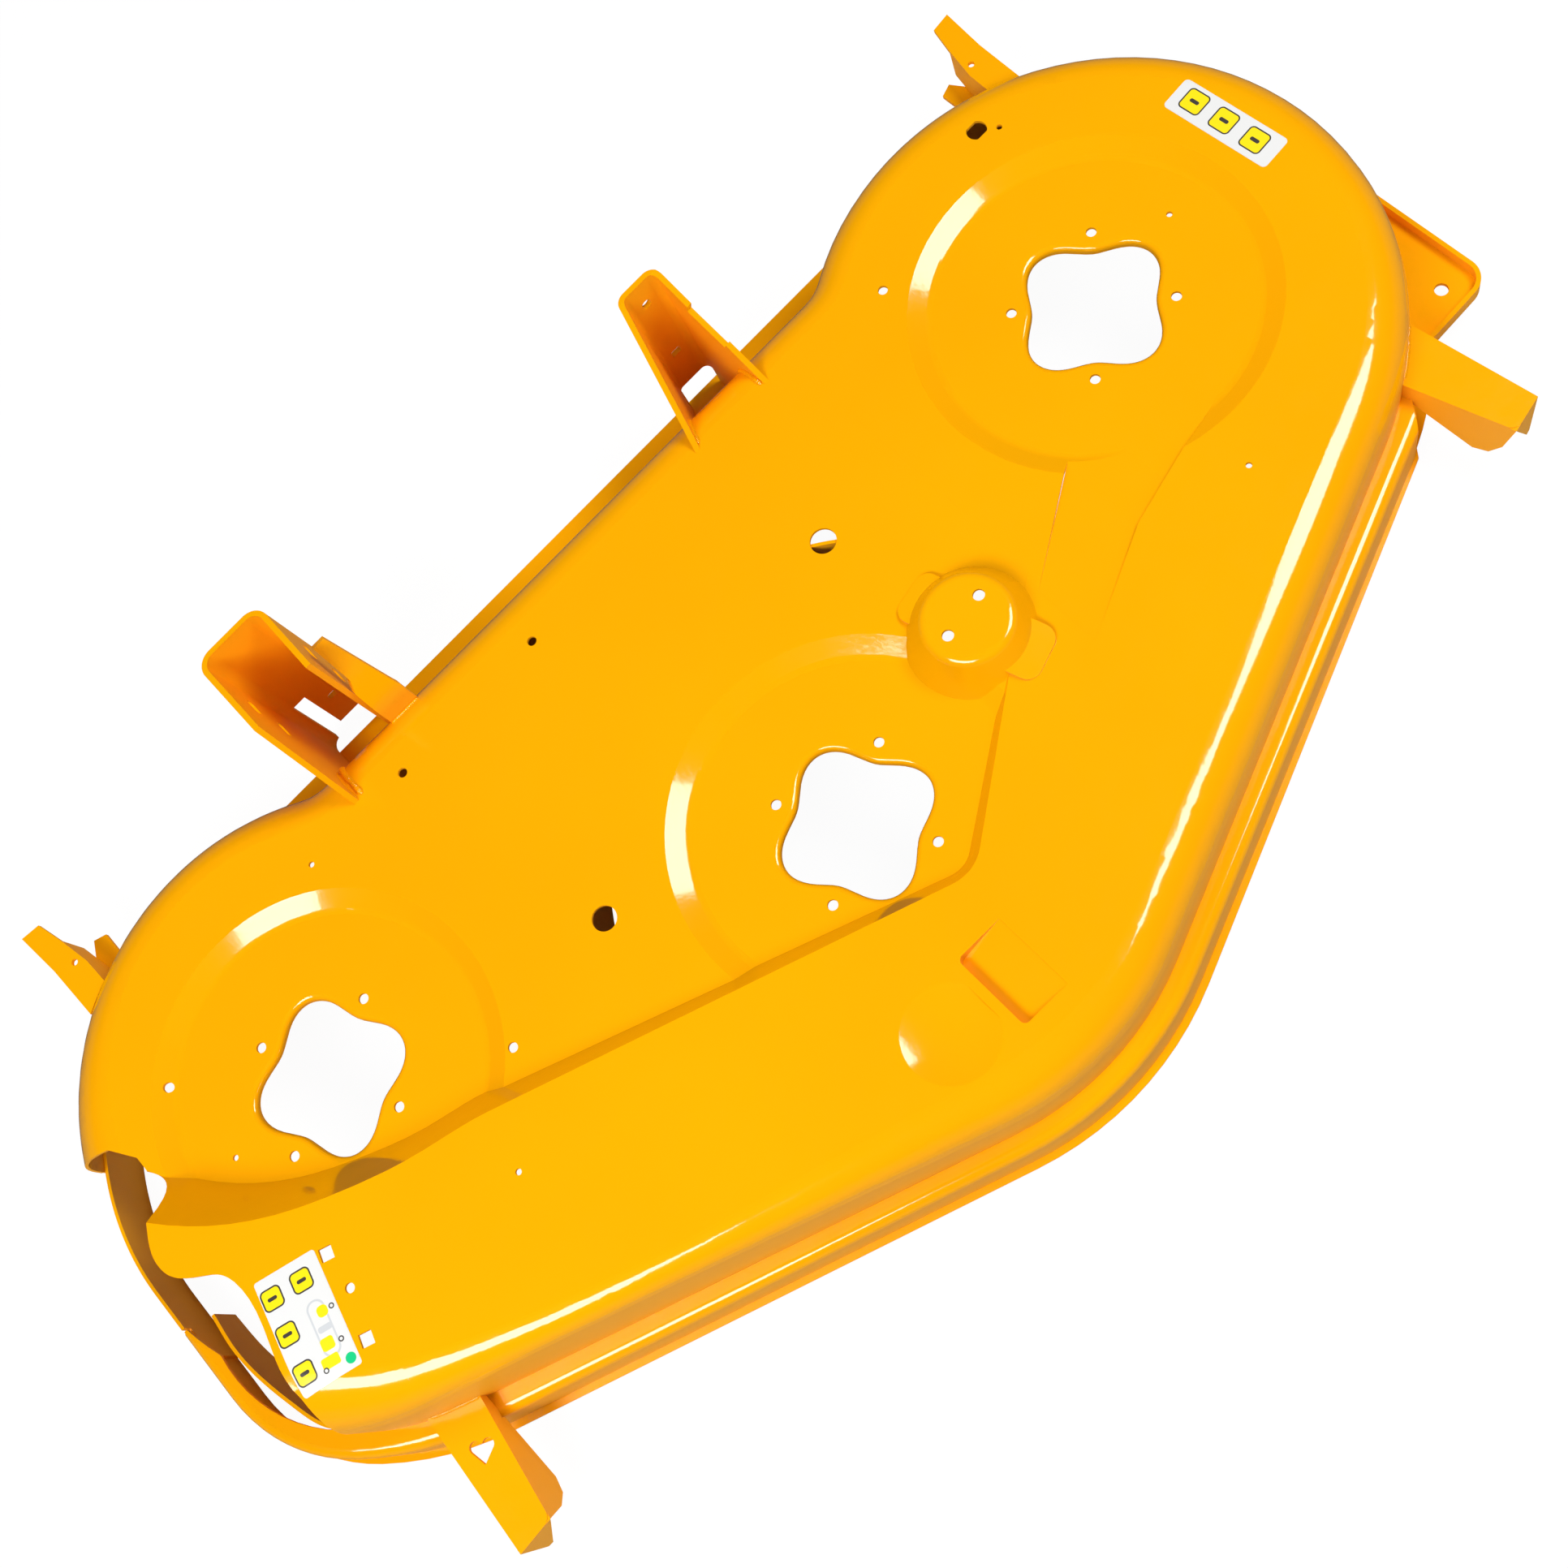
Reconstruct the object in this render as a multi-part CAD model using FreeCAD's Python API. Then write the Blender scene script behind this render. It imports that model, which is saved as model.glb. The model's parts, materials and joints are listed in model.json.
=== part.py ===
import FreeCAD, Part
import math
import os

V = FreeCAD.Vector
os.makedirs("parts", exist_ok=True)

# Driving dimensions, in millimetres.
# X runs to the mower's left, Y to its rear, Z up.
# The origin is the middle spindle's bolt circle on its mounting surface.
SHEET = 3.0
SPINDLE_X = 450.0
SPINDLE_Y = 171.3
BOLT_CIRCLE_R = 68.7
BOLT_HOLE_R = 4.5
TOP_Z = 8.0
RIM_Z = -118.0
LEDGE_Z = -60.0

# Plan of the upper wall.
LOBE_R = 249.0
APEX_R = LOBE_R + 18.0
RIGHT_FRONT_R = LOBE_R + 31.0
LEFT_FRONT_R = LOBE_R + 10.5
LEFT_FLAT_START_A = -5.0
REAR_WALL_Y = SPINDLE_Y + LOBE_R - 44.3
REAR_FILLET_R = 50.0
SHOULDER_R = 34.0
WIDE_ROLL_R = 60.0
WIDE_ROLL_START_A = 112.0
FRONT_ROLL_R = 50.0

# Plan of the lower front skirt.
SKIRT_LEFT_R = LOBE_R + 30.5
SKIRT_APEX_R = LOBE_R + 35.5
SKIRT_RIGHT_R = LOBE_R + 51.0
SKIRT_SIDE_X = -SPINDLE_X - LOBE_R
SKIRT_CORNER_R = 150.0
UPPER_SPIRAL_A = 226.0
UPPER_SPIRAL_END_A = 199.0
SKIRT_LEFT_END_A = -68.0
SKIRT_LEFT_MERGE_A = -53.0
SKIRT_SHOULDER_R = 9.0
LIP_WIDTH = 6.0
LEFT_LIP_WIDTH = 3.0
FLANGE_R = LOBE_R + 29.0
FLANGE_REAR_Y = REAR_WALL_Y + 73.0

# Front tunnel: a ramp that climbs to the discharge side.
RAMP_START_X = 201.4
RAMP_SLOPE = 0.0695
RAMP_BLEND = 60.0
FLAT_REAR_Y = 300.0
TUNNEL_DRAFT = math.tan(math.radians(31.0))

# Spindle pans and clover openings.
PAN_FOOT_R = 139.0
PAN_TOP_R = 157.0
PAN_ROUND_R = 14.0
CLOVER_MEAN_R = 60.0
CLOVER_WAVE = 8.0
CLOVER_LIP = 8.0

# Discharge opening and its band.
DISCHARGE_REAR_A = 152.0
DISCHARGE_FRONT_A = 190.0
BAND_LAP_A = 4.0

# Brackets.
HANGER_T = 5.0
BRACKET_T = 4.0

C_LEFT = V(SPINDLE_X, SPINDLE_Y, 0)
C_MID = V(0, 0, 0)
C_RIGHT = V(-SPINDLE_X, SPINDLE_Y, 0)
SPINDLES = ((C_LEFT, 45.2), (C_MID, 29.9), (C_RIGHT, 23.9))


def polar(centre, radius, angle):
    a = math.radians(angle)
    return V(centre.x + radius * math.cos(a), centre.y + radius * math.sin(a), centre.z)


def arc(centre, radius, a0, a1):
    mid = 0.5 * (a0 + a1)
    return Part.Arc(polar(centre, radius, a0), polar(centre, radius, mid), polar(centre, radius, a1)).toShape()


def line(p, q):
    return Part.makeLine(p, q)


def face_of(edges):
    return Part.Face(Part.Wire(edges))


def polygon(points):
    pts = [V(*p) for p in points]
    return Part.Face(Part.makePolygon(pts + [pts[0]]))


def prism(face, z0, z1):
    base = face.copy()
    base.translate(V(0, 0, z0))
    return base.extrude(V(0, 0, z1 - z0))


def slab(points, z0, z1):
    return prism(polygon([(x, y, 0) for x, y in points]), z0, z1)


def cylinder(x, y, radius, z0, z1):
    return Part.makeCylinder(radius, z1 - z0, V(x, y, z0))


def front_normal(c1, r1, c2, r2):
    # Outward normal of the line that touches both circles on the front side.
    d = c2 - c1
    span = math.hypot(d.x, d.y)
    ux = d.x / span
    uy = d.y / span
    along = (r1 - r2) / span
    across = math.sqrt(1.0 - along * along)
    px, py = (uy, -ux) if ux > 0 else (-uy, ux)
    return V(ux * along + px * across, uy * along + py * across, 0)


def angle_of(n):
    return math.degrees(math.atan2(n.y, n.x))


def spiral(wide_r, wide_a, low_r, low_a, inset):
    # Arc about the discharge corner: tangent to the wide circle at wide_a, it closes in
    # on the right spindle and meets the low circle at low_a.
    turn = math.radians(wide_a - low_a)
    shift = (wide_r ** 2 - low_r ** 2) / (2.0 * (wide_r - low_r * math.cos(turn)))
    centre = polar(C_RIGHT, shift, wide_a)
    radius = wide_r - shift - inset
    r1 = low_r - inset
    share = (r1 ** 2 + shift ** 2 - radius ** 2) / (2.0 * r1 * shift)
    end_a = wide_a - math.degrees(math.acos(share))
    end = polar(C_RIGHT, r1, end_a)
    start_a = math.degrees(math.atan2(end.y - centre.y, end.x - centre.x)) % 360.0
    edge = Part.Arc(end, polar(centre, radius, 0.5 * (start_a + wide_a)),
                    polar(C_RIGHT, wide_r - inset, wide_a)).toShape()
    return edge, end, end_a


def left_flat(inset):
    # Flatter arc of the left lobe's front: it leaves the lobe circle tangentially and
    # stands LEFT_FRONT_R from the spindle where the front wall begins.
    bend = math.radians(LEFT_FLAT_START_A + 67.0)
    radius = (LEFT_FRONT_R - LOBE_R * math.cos(bend)) / (1.0 - math.cos(bend))
    centre = polar(C_LEFT, LOBE_R - radius, LEFT_FLAT_START_A)
    return centre, radius - inset


def upper_outline(inset):
    lobe = LOBE_R - inset
    apex = APEX_R - inset
    right = RIGHT_FRONT_R - inset
    c_flat, flat = left_flat(inset)
    n_left = front_normal(C_MID, apex, c_flat, flat)
    n_right = front_normal(C_MID, apex, C_RIGHT, right)
    a_left = angle_of(n_left)
    a_right = angle_of(n_right)
    fillet_y = REAR_WALL_Y + REAR_FILLET_R
    reach = LOBE_R + REAR_FILLET_R
    fillet_x = SPINDLE_X - math.sqrt(reach ** 2 - (fillet_y - SPINDLE_Y) ** 2)
    a_fillet = math.degrees(math.atan2(fillet_y - SPINDLE_Y, fillet_x - SPINDLE_X))
    f_left = V(fillet_x, fillet_y, 0)
    f_right = V(-fillet_x, fillet_y, 0)
    fr = REAR_FILLET_R + inset
    corner, _, corner_a = spiral(RIGHT_FRONT_R, UPPER_SPIRAL_A, LOBE_R, UPPER_SPIRAL_END_A, inset)
    return [
        arc(c_flat, flat, a_left, LEFT_FLAT_START_A),
        arc(C_LEFT, lobe, LEFT_FLAT_START_A, a_fillet),
        arc(f_left, fr, a_fillet - 180.0, -90.0),
        line(V(fillet_x, REAR_WALL_Y - inset, 0), V(-fillet_x, REAR_WALL_Y - inset, 0)),
        arc(f_right, fr, -90.0, -a_fillet),
        arc(C_RIGHT, lobe, 180.0 - a_fillet, corner_a),
        corner,
        arc(C_RIGHT, right, UPPER_SPIRAL_A, a_right + 360.0),
        line(C_RIGHT + n_right * right, C_MID + n_right * apex),
        arc(C_MID, apex, a_right, a_left),
        line(C_MID + n_left * apex, c_flat + n_left * flat),
    ]


def skirt_corner():
    # Centre of the skirt's corner beside the discharge opening, and where it flows into
    # the arc about the right spindle.
    x = SKIRT_SIDE_X + SKIRT_CORNER_R
    reach = SKIRT_RIGHT_R - SKIRT_CORNER_R
    y = SPINDLE_Y - math.sqrt(reach ** 2 - (x + SPINDLE_X) ** 2)
    return V(x, y, 0), math.degrees(math.atan2(y - SPINDLE_Y, x + SPINDLE_X)) % 360.0


def skirt_outline(grow):
    left = SKIRT_LEFT_R + min(grow, LEFT_LIP_WIDTH)
    apex = SKIRT_APEX_R + grow
    right = SKIRT_RIGHT_R + grow
    n_left = front_normal(C_MID, apex, C_LEFT, left)
    n_right = front_normal(C_MID, apex, C_RIGHT, right)
    a_left = angle_of(n_left)
    a_right = angle_of(n_right)
    centre, corner_a = skirt_corner()
    side_x = SKIRT_SIDE_X - grow
    side_end = V(side_x, SPINDLE_Y - 21.3, 0)
    left_end = polar(C_LEFT, left, SKIRT_LEFT_END_A)
    merge = polar(C_LEFT, LOBE_R + grow, SKIRT_LEFT_MERGE_A)
    return [
        line(side_end, V(side_x, centre.y, 0)),
        arc(centre, SKIRT_CORNER_R + grow, 180.0, corner_a),
        arc(C_RIGHT, right, corner_a, a_right + 360.0),
        line(C_RIGHT + n_right * right, C_MID + n_right * apex),
        arc(C_MID, apex, a_right, a_left),
        line(C_MID + n_left * apex, C_LEFT + n_left * left),
        arc(C_LEFT, left, a_left, SKIRT_LEFT_END_A),
        line(left_end, merge),
        line(merge, V(SPINDLE_X, SPINDLE_Y - 120.0, 0)),
        line(V(SPINDLE_X, SPINDLE_Y - 120.0, 0), V(-SPINDLE_X, SPINDLE_Y, 0)),
        line(V(-SPINDLE_X, SPINDLE_Y, 0), side_end),
    ]


def above_ramp(inset):
    # Everything above the top surface: flat, gentle blend, then the ramp.
    z = TOP_Z - inset
    far = 900.0
    start = RAMP_START_X + RAMP_BLEND
    stop = RAMP_START_X - RAMP_BLEND
    stop_z = z + RAMP_SLOPE * RAMP_BLEND
    rise = RAMP_BLEND * math.tan(math.atan(RAMP_SLOPE) / 4.0)
    blend = Part.Arc(V(start, 0, z), V(RAMP_START_X, 0, z + rise), V(stop, 0, stop_z)).toShape()
    end = V(-far, 0, z + RAMP_SLOPE * (RAMP_START_X + far))
    face = face_of([
        line(V(far, 0, z), V(start, 0, z)),
        blend,
        line(V(stop, 0, stop_z), end),
        line(end, V(-far, 0, 300)),
        line(V(-far, 0, 300), V(far, 0, 300)),
        line(V(far, 0, 300), V(far, 0, z)),
    ])
    face.translate(V(0, -600, 0))
    front = face.extrude(V(0, 600 + FLAT_REAR_Y, 0))
    return front.fuse(Part.makeBox(2 * far, 700, 300 - z, V(-far, FLAT_REAR_Y, z)))


def wall_wire(z, shift):
    # Plan of the tunnel's rear wall at height z; the region behind it is open.
    grow = TUNNEL_DRAFT * z + shift
    corner = V(31.0, -62.0, 0)
    corner_r = 26.0 + grow
    a_main = -111.4
    a_side = -56.0
    n_main = polar(V(0, 0, 0), 1.0, a_main)
    n_side = polar(V(0, 0, 0), 1.0, a_side)
    p_main = corner + n_main * corner_r
    p_side = corner + n_side * corner_r
    run = V(-n_main.y, n_main.x, 0)
    side_run = V(-n_side.y, n_side.x, 0)
    p_left = p_side + side_run * ((245.0 - p_side.x) / side_run.x)
    p_straight = p_main - run * ((p_main.x + 361.0) / run.x)
    knots = ((-419, 80, -110), (-469, 100, -114), (-515, 124, -120), (-560, 160, -134),
             (-590, 197, -144), (-614, 240, -154))
    curve_pts = [p_straight]
    for x, y, a in knots:
        curve_pts.append(V(x, y, 0) + polar(V(0, 0, 0), 1.0, a) * grow)
    curve = Part.BSplineCurve()
    curve.interpolate(Points=curve_pts, InitialTangent=run * -1.0, FinalTangent=polar(V(0, 0, 0), 1.0, 116.0))
    last = curve_pts[-1]
    edges = [
        line(V(245, 600, 0), p_left),
        line(p_left, p_side),
        arc(corner, corner_r, a_side, a_main),
        line(p_main, p_straight),
        curve.toShape(),
        line(last, V(-780, last.y, 0)),
        line(V(-780, last.y, 0), V(-780, 600, 0)),
        line(V(-780, 600, 0), V(245, 600, 0)),
    ]
    wire = Part.Wire(edges)
    wire.translate(V(0, 0, z))
    return wire


def behind_wall(shift):
    low = -12.0
    high = 96.0
    return Part.makeLoft([wall_wire(low, shift), wall_wire(high, shift)], True, True)


def pan_tool(inset):
    # Revolved step foot: rounded foot, then a straight flank up to the top surface.
    slope = math.atan2(TOP_Z, PAN_TOP_R - PAN_FOOT_R)
    tangent = PAN_ROUND_R * math.tan(slope / 2.0)
    foot = PAN_FOOT_R + inset * math.tan(slope / 2.0)
    z0 = -inset
    run = 30.0
    p0 = V(foot - tangent, 0, z0)
    p2 = V(foot + tangent * math.cos(slope), 0, z0 + tangent * math.sin(slope))
    mid_a = slope / 2.0
    centre_z = z0 + PAN_ROUND_R
    p1 = V(p0.x + PAN_ROUND_R * math.sin(mid_a), 0, centre_z - PAN_ROUND_R * math.cos(mid_a))
    p3 = V(foot + run * math.cos(slope), 0, z0 + run * math.sin(slope))
    profile = face_of([
        line(V(0, 0, z0), p0),
        Part.Arc(p0, p1, p2).toShape(),
        line(p2, p3),
        line(p3, V(0, 0, p3.z)),
        line(V(0, 0, p3.z), V(0, 0, z0)),
    ])
    return profile.revolve(V(0, 0, 0), V(0, 0, 1), 360)


def valley_tool(inset):
    # Shallow valley that runs from the left pan toward the middle.
    z0 = -inset
    low_x = 372.0
    high_x = 235.0
    side = face_of([
        line(V(SPINDLE_X, -80, z0), V(low_x, -80, z0)),
        line(V(low_x, -80, z0), V(high_x, -80, TOP_Z - inset)),
        line(V(high_x, -80, TOP_Z - inset), V(high_x, -80, 20)),
        line(V(high_x, -80, 20), V(SPINDLE_X, -80, 20)),
        line(V(SPINDLE_X, -80, 20), V(SPINDLE_X, -80, z0)),
    ])
    wedge = side.extrude(V(0, 260, 0))
    plan = slab([(444, 33), (330, 5), (228, -42), (228, 20), (340, 92), (444, 140)], z0 - 5, 30)
    return wedge.common(plan)


def discharge_upper(back):
    # Region outside the roof's cut edge; back moves the edge outward.
    edge_pts = [(-612, 224), (-619, 159), (-627, 140), (-625, 118), (-612, 104), (-594, 89), (-588.5, 70),
                (-595.5, 25), (-605, -26)]
    curve = Part.BSplineCurve()
    curve.interpolate([V(x - back, y, 0) for x, y in edge_pts])
    tail = [(-605, -26), (-614, -75), (-624, -170), (-830, -170), (-830, 374), (-628, 265), (-612, 240),
            (-612, 224)]
    edges = [curve.toShape()]
    for a, b in zip(tail[:-1], tail[1:]):
        edges.append(line(V(a[0] - back, a[1], 0), V(b[0] - back, b[1], 0)))
    return prism(face_of(edges), LEDGE_Z + 0.5, 130)


def top_edges(shape, z_low):
    # Edges where a wall of the block meets its top.
    found = []
    for e in shape.Edges:
        box = e.BoundBox
        if box.ZMin < z_low:
            continue
        faces = shape.ancestorsOfType(e, Part.Face)
        upright = 0
        for f in faces:
            u0, u1, v0, v1 = f.ParameterRange
            n = f.normalAt(0.5 * (u0 + u1), 0.5 * (v0 + v1))
            if abs(n.z) < 0.01:
                upright += 1
        if upright == 1 and len(faces) == 2:
            found.append(e)
    return found


def shoulder_radius(point, inset):
    # The roll is tight on most of the deck and wide around the discharge side.
    radius = SHOULDER_R
    turn = math.degrees(math.atan2(point.y - SPINDLE_Y, point.x + SPINDLE_X)) % 360.0
    if point.y > SPINDLE_Y and point.x < -SPINDLE_X:
        share = (turn - WIDE_ROLL_START_A) / (DISCHARGE_REAR_A - WIDE_ROLL_START_A)
        radius += (WIDE_ROLL_R - SHOULDER_R) * min(1.0, max(0.0, share))
    if point.y < 0.0 and point.x < 0.0:
        share = (-80.0 - point.x) / 480.0
        radius += (FRONT_ROLL_R - SHOULDER_R) * min(1.0, max(0.0, share))
    return radius - inset


def rolled_shoulder(block, edges, inset):
    doc = FreeCAD.newDocument("roll")
    base = doc.addObject("Part::Feature", "base")
    base.Shape = block
    roll = doc.addObject("Part::Fillet", "roll")
    roll.Base = base
    table = []
    for k, e in enumerate(base.Shape.Edges):
        if any(e.isSame(f) or (e.CenterOfMass - f.CenterOfMass).Length < 0.001 for f in edges):
            r0 = shoulder_radius(e.Vertexes[0].Point, inset)
            r1 = shoulder_radius(e.Vertexes[-1].Point, inset)
            table.append((k + 1, r0, r1))
    roll.Edges = table
    doc.recompute()
    shape = roll.Shape.copy()
    FreeCAD.closeDocument(doc.Name)
    return shape


def upper_form(inset):
    block = prism(face_of(upper_outline(inset)), RIM_Z - 2.0, 110.0)
    block = block.cut(above_ramp(inset))
    behind = behind_wall(inset)
    reach = Part.makeBox(1400, FLAT_REAR_Y + 500, 200, V(-800, -500, TOP_Z - inset))
    block = block.cut(behind.common(reach))
    block = block.cut(discharge_upper(5.0 if inset else 0.0)).removeSplitter()
    rolled = []
    for e in top_edges(block, TOP_Z - inset - 0.5):
        mid = e.valueAt(0.5 * (e.FirstParameter + e.LastParameter))
        if on_outline(mid, inset):
            rolled.append(e)
    block = rolled_shoulder(block, rolled, inset)
    for centre, _ in SPINDLES:
        tool = pan_tool(inset)
        tool.translate(centre)
        block = block.cut(tool.common(behind) if centre.x < 1.0 else tool)
    return block.cut(valley_tool(inset)).removeSplitter()


def on_outline(point, inset):
    vertex = Part.Vertex(V(point.x, point.y, 0))
    return Part.Wire(upper_outline(inset)).distToShape(vertex)[0] < 0.05


def lower_form(inset):
    floor = RIM_Z - 2.0 - inset
    block = prism(face_of(skirt_outline(-inset)), floor, LEDGE_Z - inset)
    rim = []
    for e in block.Edges:
        box = e.BoundBox
        mid = e.valueAt(0.5 * (e.FirstParameter + e.LastParameter))
        outside = min(math.hypot(mid.x - c.x, mid.y - c.y) for c, _ in SPINDLES) > 240.0
        left_end = mid.x > SPINDLE_X + 105.0
        if abs(box.ZMin - box.ZMax) < 0.01 and box.ZMin > -80.0 and outside and not left_end:
            rim.append(e)
    return block.makeFillet(SKIRT_SHOULDER_R - inset * 0.7, rim)


def sector(centre, r0, r1, a0, a1, z0, z1):
    edges = [
        arc(centre, r1, a0, a1),
        line(polar(centre, r1, a1), polar(centre, r0, a1)),
        arc(centre, r0, a1, a0),
        line(polar(centre, r0, a0), polar(centre, r1, a0)),
    ]
    return prism(face_of(edges), z0, z1)


def flange_plate():
    z1 = RIM_Z + SHEET
    plate = prism(face_of(skirt_outline(LIP_WIDTH)), RIM_Z, z1)
    plate = plate.fuse(cylinder(C_LEFT.x, C_LEFT.y, FLANGE_R, RIM_Z, z1))
    plate = plate.fuse(sector(C_RIGHT, 150.0, FLANGE_R, 60.0, 185.0, RIM_Z, z1))
    rear = slab([(-SPINDLE_X, 100), (SPINDLE_X, 100), (SPINDLE_X, FLANGE_REAR_Y),
                 (-SPINDLE_X, FLANGE_REAR_Y)], RIM_Z, z1)
    return plate.fuse(rear)


def clover_wire(centre, bolt_angle, offset):
    points = []
    for k in range(32):
        a = 360.0 * k / 32
        r = CLOVER_MEAN_R + CLOVER_WAVE * math.cos(math.radians(4.0 * (a - 45.0))) + offset
        points.append(polar(centre, r, a + bolt_angle))
    curve = Part.BSplineCurve()
    curve.interpolate(Points=points, PeriodicFlag=True)
    return Part.Wire([curve.toShape()])


def clover(centre, bolt_angle, offset, z0, z1):
    return prism(Part.Face(clover_wire(centre, bolt_angle, offset)), z0, z1)


def clover_openings(shell):
    for centre, angle in SPINDLES:
        shell = shell.removeSplitter()
        collar = clover(centre, angle, SHEET, -CLOVER_LIP, -0.5)
        shell = shell.fuse(collar)
        shell = shell.cut(clover(centre, angle, 0.0, -CLOVER_LIP - 1.0, 1.0))
        lip = []
        for e in shell.Edges:
            box = e.BoundBox
            near = math.hypot(box.Center.x - centre.x, box.Center.y - centre.y) < 5.0
            if near and abs(box.ZMin) < 0.01 and abs(box.ZMax) < 0.01 and 390.0 < e.Length < 410.0:
                lip.append(e)
        shell = shell.makeFillet(4.5, lip)
        for k in range(4):
            p = polar(centre, BOLT_CIRCLE_R, angle + 90.0 * k)
            shell = shell.cut(cylinder(p.x, p.y, BOLT_HOLE_R, -20, 20))
    return shell


BOSS_X = 177.0
BOSS_Y = 43.0
BOSS_TOP_R = 38.0
BOSS_FOOT_R = 50.0
BOSS_Z = 26.0


def boss(inset):
    cap = Part.makeCone(BOSS_FOOT_R + 8.0 - inset, BOSS_TOP_R - inset, BOSS_Z + 8.0, V(BOSS_X, BOSS_Y, -inset))
    edges = [e for e in cap.Edges if e.BoundBox.ZMin > BOSS_Z]
    return cap.makeFillet(9.0 - 0.5 * inset, edges)


def boss_lug(inset, azimuth, reach, width, top, fall):
    # Low pad that leans against the boss and falls away outward.
    half = 0.5 * width - inset
    near = 20.0
    far = reach - inset
    high = top - inset
    low = top - fall - inset
    base = -12.0
    side = Part.Face(Part.makePolygon([
        V(near, -half, base), V(far, -half, base), V(far, -half, low), V(BOSS_TOP_R - 4.0, -half, high),
        V(near, -half, high), V(near, -half, base)]))
    pad = side.extrude(V(0, 2.0 * half, 0))
    upright = [e for e in pad.Edges if e.BoundBox.XMin > far - 0.1 and e.BoundBox.ZLength > 4.0]
    pad = pad.makeFillet(12.0 - inset, upright)
    pad.rotate(V(0, 0, 0), V(0, 0, 1), azimuth)
    pad.translate(V(BOSS_X, BOSS_Y, 0))
    return pad


def boss_with_lugs(inset):
    pads = boss_lug(inset, 102.0, 62.0, 46.0, 15.0, 4.0).fuse(boss_lug(inset, -71.0, 68.0, 48.0, 17.0, 6.0))
    return boss(inset).fuse(pads)


LOUVRE_HALF = 22.5
LOUVRE_FRONT_Y = -215.0
LOUVRE_LENGTH = 72.0
LOUVRE_DEPTH = 14.0
LOUVRE_HOLLOW_X = -31.0


def louvre(inset):
    # Wedge pressed into the ramp: deepest along its right side, it rises to nothing at its left side.
    x0 = -LOUVRE_HALF - inset
    x1 = LOUVRE_HALF + inset
    deep = TOP_Z + RAMP_SLOPE * (RAMP_START_X + LOUVRE_HALF) - LOUVRE_DEPTH - inset
    level = TOP_Z + RAMP_SLOPE * (RAMP_START_X - LOUVRE_HALF) - 0.4 - inset
    y0 = LOUVRE_FRONT_Y - inset
    side = Part.Face(Part.makePolygon([
        V(x0, y0, deep), V(x1, y0, level), V(x1, y0, 60), V(x0, y0, 60), V(x0, y0, deep)]))
    wedge = side.extrude(V(0, LOUVRE_LENGTH + 2.0 * inset, 0))
    upright = [e for e in wedge.Edges if e.BoundBox.ZLength > 20 and e.BoundBox.XMax < x0 + 0.1]
    return wedge.makeFillet(5.0 + inset, upright)


def louvre_hollow(inset):
    # Soft round hollow on the far side of the louvre's ridge.
    radius = 147.0
    centre = V(-56.0, -180.0, TOP_Z + RAMP_SLOPE * (RAMP_START_X + 56.0) + radius - 5.0)
    ball = Part.makeSphere(radius + inset, centre)
    return ball.common(Part.makeBox(200, 200, 80, V(LOUVRE_HOLLOW_X + inset - 200, -280, 0)))


def double_d(x, y, radius, flat):
    hole = cylinder(x, y, radius, -30, 40)
    return hole.common(Part.makeBox(4 * radius, 2 * flat, 80, V(x - 2 * radius, y - flat, -40)))


SQUARE_HOLE = 10.8


def deck_shell():
    outer = upper_form(0.0).fuse(boss_with_lugs(0.0))
    outer = outer.cut(louvre(0.0)).cut(louvre_hollow(0.0))
    outer = outer.fuse(lower_form(0.0))
    outer = outer.common(Part.makeBox(1700, 1100, 300, V(-850, -450, RIM_Z)))
    outer = outer.fuse(flange_plate())
    inner = upper_form(SHEET).fuse(boss_with_lugs(SHEET))
    inner = inner.cut(louvre(SHEET)).cut(louvre_hollow(SHEET))
    inner = inner.fuse(lower_form(SHEET))
    shell = outer.cut(inner)
    low_inner = prism(face_of(upper_outline(SHEET)), RIM_Z - 3.0, LEDGE_Z - 1.0)
    shell = shell.cut(low_inner)
    shell = shell.cut(sector(C_RIGHT, 180.0, 420.0, DISCHARGE_REAR_A, DISCHARGE_FRONT_A, RIM_Z - 4, LEDGE_Z + 0.5))
    shell = clover_openings(shell)
    round_holes = (
        (-80.1, 319.3, 4.3), (-236.2, 318.1, 4.3), (345, 318, 4.3), (-345, 318, 2.6),
        (-320.3, 71.1, 4.3), (-557.5, 267.9, 4.3), (551, 180, 2.6), (-551, 180, 2.6), (520.6, 350, 2.6),
        (-196.7, 93.1, 10.8), (149.6, 191.1, 11.5), (-524.4, 8.2, 4.0), (-372.6, -19.5, 2.6),
        (421.7, -27.6, 2.6), (196.8, 48.9, 5.0), (156.2, 43.4, 5.0),
    )
    for x, y, r in round_holes:
        shell = shell.cut(cylinder(x, y, r, -20, 90))
    half = 0.5 * SQUARE_HOLE
    for x, y in ((-522.3, 41.6), (-538.1, -30.4)):
        square = Part.makeBox(SQUARE_HOLE, SQUARE_HOLE, 80, V(x - half, y - half, 20))
        square.rotate(V(x, y, 0), V(0, 0, 1), -18.0)
        shell = shell.cut(square)
    shell = shell.cut(double_d(506.2, 363.7, 9.25, 7.5))
    solids = sorted(shell.Solids, key=lambda s: s.Volume)
    return solids[-1]


def flowing_edge(points, end_tangent):
    curve = Part.BSplineCurve()
    start_tangent = (points[1] - points[0]).normalize()
    curve.interpolate(Points=points, InitialTangent=start_tangent, FinalTangent=end_tangent)
    return curve.toShape()


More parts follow.
